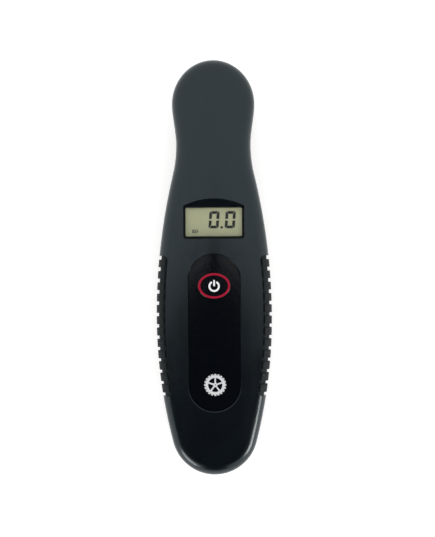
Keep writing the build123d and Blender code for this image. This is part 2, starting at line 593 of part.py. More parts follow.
with BuildPart() as lcd_reflector:
    with BuildSketch(Plane.XY.offset(DISPLAY_LOW - REFLECTOR_THICK)):
        with Locations(DISPLAY_CENTRE):
            Rectangle(DISPLAY_WIDTH, REFLECTOR_HEIGHT)
    extrude(amount=REFLECTOR_THICK)
finish(lcd_reflector.part, "lcd_reflector")

with BuildPart() as conductive_strips:
    with BuildSketch(Plane.XY.offset(BOARD_TOP)):
        with Locations(
            (0, DISPLAY_CENTRE[1] + STRIP_OFFSET),
            (0, DISPLAY_CENTRE[1] - STRIP_OFFSET),
        ):
            Rectangle(STRIP_LENGTH, STRIP_WIDTH)
    extrude(amount=DISPLAY_LOW - BOARD_TOP)
finish(conductive_strips.part, "conductive_strips")

with BuildPart() as lcd_holder:
    with BuildSketch(Plane.XY.offset(BOARD_TOP)):
        with Locations(DISPLAY_CENTRE):
            RectangleRounded(
                DISPLAY_WIDTH + 2 * (HOLDER_GAP + HOLDER_WALL),
                DISPLAY_HEIGHT + 2 * (HOLDER_GAP + HOLDER_WALL),
                HOLDER_WALL,
            )
            Rectangle(DISPLAY_WIDTH + 2 * HOLDER_GAP, DISPLAY_HEIGHT + 2 * HOLDER_GAP, mode=Mode.SUBTRACT)
    extrude(amount=HOLDER_TOP - BOARD_TOP)
finish(lcd_holder.part, "lcd_holder")

# Circuit board and its screws
with BuildPart() as circuit_board:
    with BuildSketch(Plane.XY.offset(BOARD_LOW)):
        with Locations((0, along((BOARD_LOW_AT + BOARD_HIGH_AT) / 2))):
            RectangleRounded(2 * BOARD_HALF, BOARD_HIGH_AT - BOARD_LOW_AT, BOARD_CORNER)
        with Locations(*BOARD_POSTS):
            Circle(BOARD_HOLE, mode=Mode.SUBTRACT)
    extrude(amount=BOARD_TOP - BOARD_LOW)
finish(circuit_board.part, "circuit_board")

with BuildPart() as board_screws:
    with BuildSketch(Plane.XY.offset(BOARD_LOW - BOARD_SCREW_HEAD_HIGH)):
        with Locations(*BOARD_POSTS):
            Circle(BOARD_SCREW_HEAD)
            Rectangle(2 * BOARD_SCREW_HEAD - RECESS_WIDE, RECESS_WIDE, mode=Mode.SUBTRACT)
    extrude(amount=BOARD_SCREW_HEAD_HIGH / 2)
    with BuildSketch(Plane.XY.offset(BOARD_LOW - BOARD_SCREW_HEAD_HIGH / 2)):
        with Locations(*BOARD_POSTS):
            Circle(BOARD_SCREW_HEAD)
    extrude(amount=BOARD_SCREW_HEAD_HIGH / 2)
    with BuildSketch(Plane.XY.offset(BOARD_LOW)):
        with Locations(*BOARD_POSTS):
            Circle(BOARD_SCREW_SHANK)
    extrude(amount=BOARD_SCREW_LONG)
finish(board_screws.part, "board_screws")

with BuildPart() as controller_chip:
    with BuildSketch(Plane((0, along(CHIP_AT), BOARD_TOP), x_dir=(1, 0, 0), z_dir=(0, -1, 0))):
        with BuildLine():
            ThreePointArc(*cap_points(CHIP_RADIUS, CHIP_HIGH, 0))
            Line((0, CHIP_HIGH), (0, 0))
            Line((0, 0), (CHIP_RADIUS, 0))
        make_face()
    revolve(axis=Axis((0, along(CHIP_AT), 0), (0, 0, 1)))
finish(controller_chip.part, "controller_chip")

with BuildPart() as crystal:
    with BuildSketch(Plane((CRYSTAL_X, along(CRYSTAL_AT), BOARD_TOP + CRYSTAL_RADIUS), z_dir=(0, 1, 0))):
        Circle(CRYSTAL_RADIUS)
    extrude(amount=CRYSTAL_LONG)
    fillet(crystal.faces().sort_by(Axis.Y)[-1].edges(), CRYSTAL_RADIUS / 2)
finish(crystal.part, "crystal")

with BuildPart() as chip_components:
    with BuildSketch(Plane.XY.offset(BOARD_TOP)):
        with Locations((0, along(CHIP_AT))):
            with PolarLocations(COMPONENT_RING, COMPONENTS, start_angle=COMPONENT_START):
                Rectangle(COMPONENT_LONG, COMPONENT_WIDE)
    extrude(amount=COMPONENT_HIGH)
finish(chip_components.part, "chip_components")

# Tact switch below the key: body, plunger and snap dome
with BuildPart() as switch_body:
    with BuildSketch(Plane.XY.offset(BOARD_TOP)):
        with Locations(KEY_CENTRE):
            Rectangle(SWITCH_SIDE, SWITCH_SIDE)
    extrude(amount=SWITCH_TOP - BOARD_TOP)
    with BuildSketch(Plane.XY.offset(SWITCH_FLOOR)):
        with Locations(KEY_CENTRE):
            Circle(PLUNGER_FLANGE + SWITCH_ROOM)
    extrude(amount=SWITCH_TOP - SWITCH_LID - SWITCH_FLOOR, mode=Mode.SUBTRACT)
    with BuildSketch(Plane.XY.offset(SWITCH_FLOOR)):
        with Locations(KEY_CENTRE):
            Circle(PLUNGER_RADIUS + SWITCH_ROOM)
    extrude(amount=SWITCH_TOP, mode=Mode.SUBTRACT)
finish(switch_body.part, "switch_body")

with BuildPart() as switch_plunger:
    with BuildSketch(Plane.XY.offset(SWITCH_FLOOR + DOME_HIGH)):
        with Locations(KEY_CENTRE):
            Circle(PLUNGER_FLANGE)
    extrude(amount=PLUNGER_FLANGE_HIGH)
    with BuildSketch(Plane.XY.offset(SWITCH_FLOOR + DOME_HIGH)):
        with Locations(KEY_CENTRE):
            Circle(PLUNGER_RADIUS)
    extrude(amount=PLUNGER_TOP - SWITCH_FLOOR - DOME_HIGH)
finish(switch_plunger.part, "switch_plunger")

with BuildPart() as switch_dome:
    with BuildSketch(KEY_PLANE):
        with BuildLine():
            dome_rim, dome_top = DOME_RADIUS - 2 * DOME_SHEET, DOME_HIGH - DOME_SHEET
            ThreePointArc(*cap_points(DOME_RADIUS, DOME_HIGH, SWITCH_FLOOR))
            Line((0, SWITCH_FLOOR + DOME_HIGH), (0, SWITCH_FLOOR + dome_top))
            ThreePointArc(*cap_points(dome_rim, dome_top, SWITCH_FLOOR))
            Line((dome_rim, SWITCH_FLOOR), (DOME_RADIUS, SWITCH_FLOOR))
        make_face()
    revolve(axis=KEY_AXIS)
finish(switch_dome.part, "switch_dome")

# Pressure sensor under the board, and the air tube to the chuck
with BuildPart() as pressure_sensor:
    with BuildSketch(Plane.XY.offset(BOARD_LOW - SENSOR_DEEP)):
        with Locations((0, along(SENSOR_AT))):
            Rectangle(SENSOR_SIDE, SENSOR_SIDE)
    extrude(amount=SENSOR_DEEP)
    with BuildSketch(Plane((0, SENSOR_EDGE, PORT_Z), z_dir=(0, 1, 0))):
        Circle(PORT_RADIUS)
    extrude(amount=PORT_LENGTH)
    with BuildSketch(Plane((0, SENSOR_EDGE - OVERCUT, PORT_Z), z_dir=(0, 1, 0))):
        Circle(PORT_BORE)
    extrude(amount=PORT_LENGTH + OVERCUT, mode=Mode.SUBTRACT)
finish(pressure_sensor.part, "pressure_sensor")

with BuildPart() as air_tube:
    with BuildSketch(Plane((0, TUBE_START, PORT_Z), z_dir=(0, 1, 0))):
        Circle(TUBE_OUTER)
        Circle(PORT_RADIUS, mode=Mode.SUBTRACT)
    extrude(amount=TUBE_END - TUBE_START)
finish(air_tube.part, "air_tube")

# Valve chuck: nozzle, cap with its air port, seal and depressor pin
with BuildPart() as chuck_nozzle:
    with BuildSketch(HEAD_PLANE):
        with BuildLine():
            Polyline(
                (VALVE_BORE + VALVE_MOUTH, 0),
                (NOZZLE_RADIUS - NOZZLE_CHAMFER, 0),
                (NOZZLE_RADIUS, NOZZLE_CHAMFER),
                (NOZZLE_RADIUS, FLANGE_LOW),
                (NOZZLE_FLANGE, FLANGE_LOW),
                (NOZZLE_FLANGE, FLANGE_TOP),
                (SEAL_RADIUS, FLANGE_TOP),
                (SEAL_RADIUS, SEAL_LOW),
                (VALVE_BORE, SEAL_LOW),
                (VALVE_BORE, VALVE_MOUTH),
                close=True,
            )
        make_face()
    revolve(axis=HEAD_AXIS)
finish(chuck_nozzle.part, "chuck_nozzle")

with BuildPart() as chuck_cap:
    with BuildSketch(HEAD_PLANE):
        with BuildLine():
            Polyline(
                (CAP_GALLERY, SEAL_TOP),
                (CAP_SPIGOT, SEAL_TOP),
                (CAP_SPIGOT, FLANGE_TOP),
                (NOZZLE_FLANGE, FLANGE_TOP),
                (NOZZLE_FLANGE, JOINT_LINE),
                (RING_INNER, JOINT_LINE),
                (RING_INNER, CAP_FLANGE_TOP),
                (CAP_RADIUS, CAP_FLANGE_TOP),
                (CAP_RADIUS, CAP_TOP),
                (0, CAP_TOP),
                (0, CAP_TOP - CAP_ROOF),
                (CAP_GALLERY, CAP_TOP - CAP_ROOF),
                close=True,
            )
        make_face()
    revolve(axis=HEAD_AXIS)
    with BuildSketch(Plane((0, NIPPLE_END, PORT_Z), z_dir=(0, 1, 0))):
        Circle(PORT_RADIUS)
    extrude(amount=along(HEAD_AT) - CAP_GALLERY - NIPPLE_INSET - NIPPLE_END)
    with BuildSketch(Plane((0, NIPPLE_END, PORT_Z), z_dir=(0, 1, 0))):
        Circle(PORT_BORE)
    extrude(amount=along(HEAD_AT) - NIPPLE_END, mode=Mode.SUBTRACT)
finish(chuck_cap.part, "chuck_cap")

with BuildPart() as chuck_seal:
    with BuildSketch(Plane.XY.offset(SEAL_LOW)):
        with Locations(HEAD_CENTRE):
            Circle(SEAL_RADIUS)
            Circle(SEAL_HOLE, mode=Mode.SUBTRACT)
    extrude(amount=SEAL_TOP - SEAL_LOW)
finish(chuck_seal.part, "chuck_seal")

with BuildPart() as depressor_pin:
    with BuildSketch(Plane.XY.offset(PIN_DISC_LOW)):
        with Locations(HEAD_CENTRE):
            Circle(CAP_GALLERY)
            with PolarLocations(PIN_VENT_OUT, PIN_VENTS):
                Circle(PIN_VENT_RADIUS, mode=Mode.SUBTRACT)
    extrude(amount=PIN_DISC_TOP - PIN_DISC_LOW)
    with BuildSketch(Plane.XY.offset(PIN_TIP)):
        with Locations(HEAD_CENTRE):
            Circle(PIN_RADIUS)
    extrude(amount=PIN_DISC_LOW - PIN_TIP)
    fillet(depressor_pin.faces().sort_by(Axis.Z)[0].edges(), PIN_RADIUS / 2)
finish(depressor_pin.part, "depressor_pin")

# Coin cell, its contacts, and the twist cover with its gasket
with BuildPart() as coin_cell:
    with BuildSketch(CELL_PLANE):
        with BuildLine():
            Polyline(
                (0, CELL_LOW),
                (CELL_RADIUS, CELL_LOW),
                (CELL_RADIUS, CELL_STEP),
                (CELL_CAP, CELL_STEP),
                (CELL_CAP, CELL_TOP),
                (0, CELL_TOP),
                close=True,
            )
        make_face()
    revolve(axis=CELL_AXIS)
finish(coin_cell.part, "coin_cell")

with BuildPart() as contact_minus:
    with BuildSketch(Plane.YZ.offset(-CONTACT_WIDE / 2)):
        with BuildLine():
            Polyline(
                (MINUS_PAD_START, BOARD_LOW),
                (MINUS_PAD_END, BOARD_LOW),
                (MINUS_FOOT, CELL_TOP + CONTACT_SHEET),
                (MINUS_TIP, CELL_TOP + CONTACT_SHEET),
                (MINUS_TIP, CELL_TOP),
                (MINUS_FOOT, CELL_TOP),
                (MINUS_PAD_END, BOARD_LOW - CONTACT_SHEET),
                (MINUS_PAD_START, BOARD_LOW - CONTACT_SHEET),
                close=True,
            )
        make_face()
    extrude(amount=CONTACT_WIDE)
finish(contact_minus.part, "contact_minus")

with BuildPart() as contact_plus:
    with BuildSketch(Plane.YZ.offset(-CONTACT_WIDE / 2)):
        with BuildLine():
            Polyline(
                (PLUS_EDGE, CELL_LOW + CONTACT_SHEET),
                (PLUS_EDGE, BOARD_LOW),
                (PLUS_EDGE - PLUS_PAD, BOARD_LOW),
                (PLUS_EDGE - PLUS_PAD, BOARD_LOW - CONTACT_SHEET),
                (PLUS_EDGE - CONTACT_SHEET, BOARD_LOW - CONTACT_SHEET),
                (PLUS_EDGE - CONTACT_SHEET, CELL_LOW + CONTACT_SHEET),
                close=True,
            )
        make_face()
    extrude(amount=CONTACT_WIDE)
finish(contact_plus.part, "contact_plus")

with BuildPart() as battery_cover:
    with BuildSketch(CELL_PLANE):
        with BuildLine():
            Polyline(
                (0, COVER_LOW),
                (COVER_RADIUS - COVER_CHAMFER, COVER_LOW),
                (COVER_RADIUS, COVER_LOW + COVER_CHAMFER),
                (COVER_RADIUS, COVER_TOP),
                (COVER_RING_OUTER, COVER_TOP),
                (COVER_RING_OUTER, COVER_RING_TOP),
                (COVER_RING_INNER, COVER_RING_TOP),
                (COVER_RING_INNER, COVER_TOP),
                (0, COVER_TOP),
                close=True,
            )
        make_face()
    revolve(axis=CELL_AXIS)
    for angle in LUG_ANGLES:
        with BuildSketch(Plane((*CELL_CENTRE, LUG_LOW))):
            add(ring_sector(COVER_RING_INNER, LUG_RADIUS, angle, LUG_SWEEP))
        extrude(amount=LUG_TOP - LUG_LOW)
    with BuildSketch(Plane.XY.offset(COVER_LOW)):
        with Locations(CELL_CENTRE):
            SlotOverall(COIN_SLOT_LONG, COIN_SLOT_WIDE)
    extrude(amount=COIN_SLOT_DEEP, mode=Mode.SUBTRACT)
finish(battery_cover.part, "battery_cover")

with BuildPart() as cover_gasket:
    with BuildSketch(Plane.XY.offset(COVER_TOP)):
        with Locations(CELL_CENTRE):
            Circle(GASKET_OUTER)
            Circle(GASKET_INNER, mode=Mode.SUBTRACT)
    extrude(amount=GASKET_TOP - COVER_TOP)
finish(cover_gasket.part, "cover_gasket")

# Case screws, driven in from the back
with BuildPart() as case_screws:
    with BuildSketch(Plane.XY.offset(HEAD_SEAT - SCREW_HEAD_HIGH)):
        with Locations(*CASE_SPOTS):
            Circle(SCREW_HEAD)
    extrude(amount=SCREW_HEAD_HIGH)
    with BuildSketch(Plane.XY.offset(HEAD_SEAT)):
        with Locations(*CASE_SPOTS):
            Circle(SCREW_SHANK)
    extrude(amount=SCREW_TIP - HEAD_SEAT)
    with BuildSketch(Plane.XY.offset(HEAD_SEAT - SCREW_HEAD_HIGH)):
        with Locations(*CASE_SPOTS):
            Rectangle(2 * SCREW_HEAD - 2 * RECESS_WIDE, RECESS_WIDE)
            Rectangle(RECESS_WIDE, 2 * SCREW_HEAD - 2 * RECESS_WIDE)
    extrude(amount=RECESS_DEEP, mode=Mode.SUBTRACT)
finish(case_screws.part, "case_screws")
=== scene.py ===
import json
import math

import bmesh
import bpy
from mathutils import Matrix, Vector
from mathutils.bvhtree import BVHTree


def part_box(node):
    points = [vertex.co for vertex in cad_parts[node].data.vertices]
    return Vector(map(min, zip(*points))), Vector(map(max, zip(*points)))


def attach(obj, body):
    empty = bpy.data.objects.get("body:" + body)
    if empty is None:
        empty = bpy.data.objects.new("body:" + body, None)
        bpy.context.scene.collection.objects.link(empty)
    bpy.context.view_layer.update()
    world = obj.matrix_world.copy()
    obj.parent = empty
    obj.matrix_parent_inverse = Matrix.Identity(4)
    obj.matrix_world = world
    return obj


# Looks for the digital tyre pressure gauge: a material for every part, the printed marks, the
# display's digits, and the studio. Marks are drawn in millimetres, the studio in metres.

MM = 0.001
INK_LIFT, INK_THICK = 0.004, 0.02

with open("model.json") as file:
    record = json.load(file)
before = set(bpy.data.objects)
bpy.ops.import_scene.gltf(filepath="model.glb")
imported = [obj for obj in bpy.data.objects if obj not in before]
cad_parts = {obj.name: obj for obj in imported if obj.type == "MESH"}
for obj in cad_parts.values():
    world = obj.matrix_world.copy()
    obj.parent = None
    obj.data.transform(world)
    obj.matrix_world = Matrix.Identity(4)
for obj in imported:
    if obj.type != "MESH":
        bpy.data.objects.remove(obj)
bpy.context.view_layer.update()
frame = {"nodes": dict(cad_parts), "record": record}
nodes = frame["nodes"]


# ---------------------------------------------------------------- materials

def material(name, colour, roughness, metallic=0.0, ior=1.5, specular=0.5, gloss_tint=(1, 1, 1)):
    """A new material with these values set on the shader itself."""
    made = bpy.data.materials.new(name)
    made.use_nodes = True
    shader = made.node_tree.nodes["Principled BSDF"]
    shader.inputs["Base Color"].default_value = (*colour, 1)
    shader.inputs["Roughness"].default_value = roughness
    shader.inputs["Metallic"].default_value = metallic
    shader.inputs["IOR"].default_value = ior
    shader.inputs["Specular IOR Level"].default_value = specular
    shader.inputs["Specular Tint"].default_value = (*gloss_tint, 1)
    return made


def noise(made, scale, detail=2.0, stretch=(1, 1, 1)):
    """A noise texture in the object's own frame; scale is in cells to the metre."""
    tree = made.node_tree
    place = tree.nodes.new("ShaderNodeTexCoord")
    mapping = tree.nodes.new("ShaderNodeMapping")
    mapping.inputs["Scale"].default_value = stretch
    texture = tree.nodes.new("ShaderNodeTexNoise")
    texture.inputs["Scale"].default_value = scale
    texture.inputs["Detail"].default_value = detail
    tree.links.new(place.outputs["Object"], mapping.inputs["Vector"])
    tree.links.new(mapping.outputs["Vector"], texture.inputs["Vector"])
    return texture.outputs["Fac"]


def paint(made, source, stops):
    """Colour the base by a ramp over a noise; stops are (position, colour) pairs."""
    node = made.node_tree.nodes.new("ShaderNodeValToRGB")
    elements = node.color_ramp.elements
    while len(elements) < len(stops):
        elements.new(0.5)
    for element, (position, colour) in zip(elements, stops):
        element.position = position
        element.color = (*colour, 1)
    made.node_tree.links.new(source, node.inputs["Fac"])
    shader = made.node_tree.nodes["Principled BSDF"]
    made.node_tree.links.new(node.outputs["Color"], shader.inputs["Base Color"])


def spread(made, source, low, high):
    """Vary the roughness between low and high over the middle of the noise."""
    node = made.node_tree.nodes.new("ShaderNodeMapRange")
    node.inputs["From Min"].default_value = 0.3
    node.inputs["From Max"].default_value = 0.7
    node.inputs["To Min"].default_value = low
    node.inputs["To Max"].default_value = high
    made.node_tree.links.new(source, node.inputs["Value"])
    shader = made.node_tree.nodes["Principled BSDF"]
    made.node_tree.links.new(node.outputs["Result"], shader.inputs["Roughness"])


def tint(made, source, dark, light):
    """Vary the base colour between two close tones."""
    paint(made, source, [(0.35, dark), (0.65, light)])


def bump(made, layers):
    """Chain bump nodes; each layer is (source, height in millimetres)."""
    tree = made.node_tree
    previous = None
    for source, height in layers:
        node = tree.nodes.new("ShaderNodeBump")
        node.inputs["Strength"].default_value = 1.0
        node.inputs["Distance"].default_value = height * MM
        tree.links.new(source, node.inputs["Height"])
        if previous is not None:
            tree.links.new(previous, node.inputs["Normal"])
        previous = node.outputs["Normal"]
    tree.links.new(previous, tree.nodes["Principled BSDF"].inputs["Normal"])


def case_plastic():
    """Satin black moulding with a fine spark-eroded grain and faint handling marks."""
    cool = (0.81, 0.96, 1.0)
    made = material("case_plastic", (0.0014, 0.003, 0.0055), 0.24, ior=1.53, specular=0.53, gloss_tint=cool)
    tint(made, noise(made, 90, 3), (0.0012, 0.0026, 0.0048), (0.0018, 0.0036, 0.0064))
    spread(made, noise(made, 260, 4, (1, 0.25, 1)), 0.21, 0.27)
    bump(made, [(noise(made, 5200, 2), 0.006), (noise(made, 1500, 1), 0.006)])
    return made


def grip_rubber():
    """Soft black rubber: matte, with a coarse pebbled texture and a little dust."""
    cool = (0.80, 0.94, 1.0)
    made = material("grip_rubber", (0.005, 0.0065, 0.0072), 0.58, specular=0.2, gloss_tint=cool)
    black, grey, dust = (0.0035, 0.005, 0.0055), (0.008, 0.010, 0.0105), (0.03, 0.033, 0.033)
    paint(made, noise(made, 2900, 3), [(0.30, black), (0.58, grey), (0.72, dust)])
    spread(made, noise(made, 1500, 2), 0.45, 0.7)
    bump(made, [(noise(made, 1900, 3), 0.07), (noise(made, 5200, 1), 0.02)])
    return made


def overlay_gloss():
    """Glossy black film with a very fine orange peel."""
    made = material("overlay_gloss", (0.0009, 0.0018, 0.0034), 0.14, specular=0.36)
    tint(made, noise(made, 1800, 2), (0.0007, 0.0015, 0.0029), (0.0012, 0.0022, 0.004))
    spread(made, noise(made, 900, 3), 0.11, 0.18)
    bump(made, [(noise(made, 2600, 2), 0.0035)])
    return made


def clear_window():
    """Clear acrylic with a trace of green."""
    made = material("clear_window", (0.93, 0.96, 0.93), 0.03, ior=1.49)
    shader = made.node_tree.nodes["Principled BSDF"]
    shader.inputs["Transmission Weight"].default_value = 1.0
    spread(made, noise(made, 300, 2), 0.02, 0.05)
    return made


def display_film():
    """Reflective display: a pale olive polariser."""
    made = material("display", (0.83, 0.79, 0.50), 0.5, specular=0.2)
    tint(made, noise(made, 120, 2), (0.81, 0.775, 0.49), (0.85, 0.805, 0.51))
    bump(made, [(noise(made, 9000, 1), 0.002)])
    return made


def ink(name, colour, roughness=0.4, specular=0.5):
    """A printed mark, or the painted shade round the display's edges: slightly uneven ink."""
    made = material(name, colour, roughness, specular=specular)
    darker = tuple(0.93 * part for part in colour)
    tint(made, noise(made, 3000, 2), darker, colour)
    spread(made, noise(made, 2000, 2), roughness - 0.06, roughness + 0.06)
    return made


def metal(name, colour, low, high, stretch=(1, 1, 1), scale=900):
    """A metal with a machined or plated finish."""
    made = material(name, colour, (low + high) / 2, metallic=1.0)
    darker = tuple(0.86 * part for part in colour)
    tint(made, noise(made, scale / 3, 3, stretch), darker, colour)
    spread(made, noise(made, scale, 3, stretch), low, high)
    bump(made, [(noise(made, 2 * scale, 2, stretch), 0.002)])
    return made


def matte(name, colour, roughness=0.55, scale=1200, height=0.008):
    """A plain moulded or rubber part with a fine texture."""
    made = material(name, colour, roughness)
    darker = tuple(0.8 * part for part in colour)
    tint(made, noise(made, scale / 3, 3), darker, colour)
    spread(made, noise(made, scale, 2), roughness - 0.07, roughness + 0.07)
    bump(made, [(noise(made, 2 * scale, 2), height)])
    return made


def board_material():
    """Green solder mask with the faint relief of copper tracks under it."""
    made = material("board", (0.02, 0.16, 0.06), 0.35)
    tree = made.node_tree
    place = tree.nodes.new("ShaderNodeTexCoord")
    tracks = tree.nodes.new("ShaderNodeTexBrick")
    tracks.inputs["Scale"].default_value = 320
    tracks.inputs["Mortar Size"].default_value = 0.03
    tracks.inputs["Color1"].default_value = (0.015, 0.14, 0.05, 1)
    tracks.inputs["Color2"].default_value = (0.02, 0.17, 0.06, 1)
    tracks.inputs["Mortar"].default_value = (0.05, 0.27, 0.10, 1)
    tree.links.new(place.outputs["Object"], tracks.inputs["Vector"])
    tree.links.new(tracks.outputs["Color"], tree.nodes["Principled BSDF"].inputs["Base Color"])
    bump(made, [(tracks.outputs["Fac"], 0.03)])
    return made


SLOTS = {
    "case_plastic": case_plastic(),
    "grip_rubber": grip_rubber(),
    "overlay_gloss": overlay_gloss(),
    "clear_window": clear_window(),
    "display": display_film(),
    "inner_plastic": matte("inner_plastic", (0.03, 0.03, 0.032)),
    "board": board_material(),
    "component": matte("component", (0.42, 0.30, 0.17), 0.4, 3000, 0.004),
    "screw_steel": metal("screw_steel", (0.52, 0.52, 0.50), 0.28, 0.42),
    "contact_steel": metal("contact_steel", (0.72, 0.71, 0.68), 0.14, 0.26, (1, 6, 1)),
    "nozzle_brass": metal("nozzle_brass", (0.78, 0.60, 0.30), 0.18, 0.32, (1, 1, 8)),
    "seal_rubber": matte("seal_rubber", (0.018, 0.018, 0.019), 0.62, 900, 0.02),
    "tube_rubber": matte("tube_rubber", (0.55, 0.55, 0.52), 0.45, 700, 0.006),
}
INK_RED = ink("ink_red", (0.34, 0.004, 0.026), specular=0.12)
INK_WHITE = ink("ink_white", (0.86, 0.86, 0.86))
INK_GREY = ink("ink_grey", (0.62, 0.63, 0.64))
# The black below is painted shade: the border round the display's edges, where the window's walls shade
# them.
EDGE_SHADE_BLACK = ink("edge_shade_black", (0.003, 0.005, 0.006), 0.3, specular=0.12)
SEGMENT = ink("lcd_segment", (0.003, 0.004, 0.003), 0.35, specular=0.05)

for entry in frame["record"]["subparts"]:
    part = nodes[entry["node"]]
    for place in part.material_slots:
        place.material = SLOTS[entry["material_slot"]]


# ---------------------------------------------------------------- mesh helpers

def surface_above(name):
    """A function giving the height of a node's top surface at a point, in metres."""
    mesh = nodes[name].data
    tree = BVHTree.FromPolygons([v.co for v in mesh.vertices], [p.vertices for p in mesh.polygons])
    above = Vector((0, 0, 1))

    def height(x, y):
        hit = tree.ray_cast(Vector((x, y, above.z)), -above)[0]
        return hit.z if hit is not None else 0.0

    return height


def piece(name, mesh, body, made):
    """Link a mesh as a piece that rides on a body."""
    thing = bpy.data.objects.new(name, mesh)
    bpy.context.scene.collection.objects.link(thing)
    mesh.materials.append(made)
    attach(thing, body)
    return thing


def stroke_rows(line, width, closed, round_ends):
    """The places, directions and half widths of a band along a line, in millimetres."""
    rows = []
    count = len(line)
    for number, (x, y) in enumerate(line):
        before = line[number - 1] if closed or number else line[0]
        after = line[(number + 1) % count] if closed or number < count - 1 else line[-1]
        along_x, along_y = after[0] - before[0], after[1] - before[1]
        length = math.hypot(along_x, along_y)
        rows.append(((x, y), (along_x / length, along_y / length), width / 2))
    if round_ends and not closed:
        start, end = rows[0], rows[-1]
        for turn in (30, 55, 75):
            reach, share = math.sin(math.radians(turn)), math.cos(math.radians(turn))
            (x, y), (ux, uy), half = start
            rows.insert(0, ((x - ux * half * reach, y - uy * half * reach), (ux, uy), half * share))
            (x, y), (ux, uy), half = end
            rows.append(((x + ux * half * reach, y + uy * half * reach), (ux, uy), half * share))
    return rows


def add_stroke(work, line, width, height, closed=False, round_ends=True):
    """Lay a band of the given width along a line, just over a surface, into a bmesh."""
    across = (-1, -0.5, 0, 0.5, 1)
    grid = []
    for (x, y), (ux, uy), half in stroke_rows(line, width, closed, round_ends):
        row = []
        for share in across:
            px, py = (x - uy * half * share) * MM, (y + ux * half * share) * MM
            row.append(work.verts.new((px, py, height(px, py) + INK_LIFT * MM)))
        grid.append(row)
    pairs = list(zip(grid, grid[1:]))
    if closed:
        pairs.append((grid[-1], grid[0]))
    for first, second in pairs:
        for column in range(len(across) - 1):
            work.faces.new((first[column], second[column], second[column + 1], first[column + 1]))


def finish_flat(name, work):
    """Turn a bmesh into a mesh with outward, flat faces."""
    bmesh.ops.recalc_face_normals(work, faces=work.faces)
    mesh = bpy.data.meshes.new(name)
    work.to_mesh(mesh)
    work.free()
    return mesh


def printed_mark(name, work, body, made):
    """A mark printed on the overlay or the key, with the ink's thickness above where it lies."""
    mesh = finish_flat(name, work)
    for face in mesh.polygons:
        face.use_smooth = True
    mark = piece(name, mesh, body, made)
    solid = mark.modifiers.new("ink", "SOLIDIFY")
    solid.thickness = INK_THICK * MM
    solid.offset = 1.0


def ellipse_line(half_x, half_y, centre, steps=96, start=0.0, sweep=360.0):
    """Points on an ellipse, or on part of one, in millimetres."""
    last = steps if sweep < 360 else steps - 1
    points = []
    for number in range(last + 1):
        angle = math.radians(start + sweep * number / steps)
        points.append((centre[0] + half_x * math.cos(angle), centre[1] + half_y * math.sin(angle)))
    return points


def straight_line(start, end, steps=8):
    """Evenly spaced points from start to end."""
    return [
        (start[0] + (end[0] - start[0]) * n / steps, start[1] + (end[1] - start[1]) * n / steps)
        for n in range(steps + 1)
    ]


def rounded_rectangle(left, low, right, high, radius, steps=8):
    """A rectangle's outline with rounded corners."""
    points = []
    corners = [(right, high, 0), (left, high, 90), (left, low, 180), (right, low, 270)]
    for x, y, start in corners:
        centre_x = x - radius if x == right else x + radius
        centre_y = y - radius if y == high else y + radius
        points += ellipse_line(radius, radius, (centre_x, centre_y), steps, start, 90)
    return points


def slab(work, outline, low, high):
    """A flat plate with a polygon outline, between two heights, all in millimetres."""
    lower = [work.verts.new((x * MM, y * MM, low * MM)) for x, y in outline]
    upper = [work.verts.new((x * MM, y * MM, high * MM)) for x, y in outline]
    work.faces.new(list(reversed(lower)))
    work.faces.new(upper)
    count = len(outline)
    for number in range(count):
        after = (number + 1) % count
        work.faces.new((lower[number], lower[after], upper[after], upper[number]))


# ---------------------------------------------------------------- places, from the frame

def centre_of(name):
    """The middle of a node's box in plan, in millimetres."""
    low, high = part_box(name)
    return ((low.x + high.x) / 2 / MM, (low.y + high.y) / 2 / MM)


KEY_CENTRE = centre_of("on_key")
DISPLAY_LOW, DISPLAY_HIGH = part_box("lcd_glass")
DISPLAY_TOP = DISPLAY_HIGH.z / MM
PANEL_LOW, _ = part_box("face_overlay")


# ---------------------------------------------------------------- printed marks

def key_marks():
    """The key's red oval ring and its white power symbol."""
    height = surface_above("on_key")
    ring_width, outer_x, outer_y = 0.76, 5.74, 4.53
    work = bmesh.new()
    line = ellipse_line(outer_x - ring_width / 2, outer_y - ring_width / 2, KEY_CENTRE, 144)
    add_stroke(work, line, ring_width, height, closed=True)
    printed_mark("key_ring", work, "key", INK_RED)

    radius, width, gap_degrees, drop = 1.7, 0.66, 74, 0.15
    bar_low, bar_high = 0.15, 1.8
    work = bmesh.new()
    x, y = KEY_CENTRE
    arc = ellipse_line(radius, radius, (x, y - drop), 48, 90 + gap_degrees / 2, 360 - gap_degrees)
    add_stroke(work, arc, width, height)
    add_stroke(work, straight_line((x, y + bar_low), (x, y + bar_high)), width, height)
    printed_mark("key_symbol", work, "key", INK_WHITE)


def panel_mark():
    """A plain wheel sign near the lower end of the overlay: tyre with tread, spokes and hub."""
    height = surface_above("face_overlay")
    centre = (0.2, PANEL_LOW.y / MM + 9.6)
    tyre_radius, tyre_width, hub_radius, hub_width = 3.05, 1.0, 0.5, 0.6
    treads, tread_start, tread_end, tread_width = 20, 3.6, 3.95, 0.7
    spokes, spoke_start, spoke_end, spoke_width = 5, 0.82, 2.52, 0.55
    work = bmesh.new()
    add_stroke(work, ellipse_line(tyre_radius, tyre_radius, centre, 96), tyre_width, height, closed=True)
    add_stroke(work, ellipse_line(hub_radius, hub_radius, centre, 32), hub_width, height, closed=True)

    def radial_bar(turn, start, end, width):
        angle = 2 * math.pi * turn
        ends = [(centre[0] + r * math.cos(angle), centre[1] + r * math.sin(angle)) for r in (start, end)]
        add_stroke(work, straight_line(*ends, steps=3), width, height, round_ends=False)

    for number in range(treads):
        radial_bar(number / treads, tread_start, tread_end, tread_width)
    for number in range(spokes):
        radial_bar(0.25 + number / spokes, spoke_start, spoke_end, spoke_width)
    printed_mark("panel_sign", work, "housing", INK_GREY)


# ---------------------------------------------------------------- display

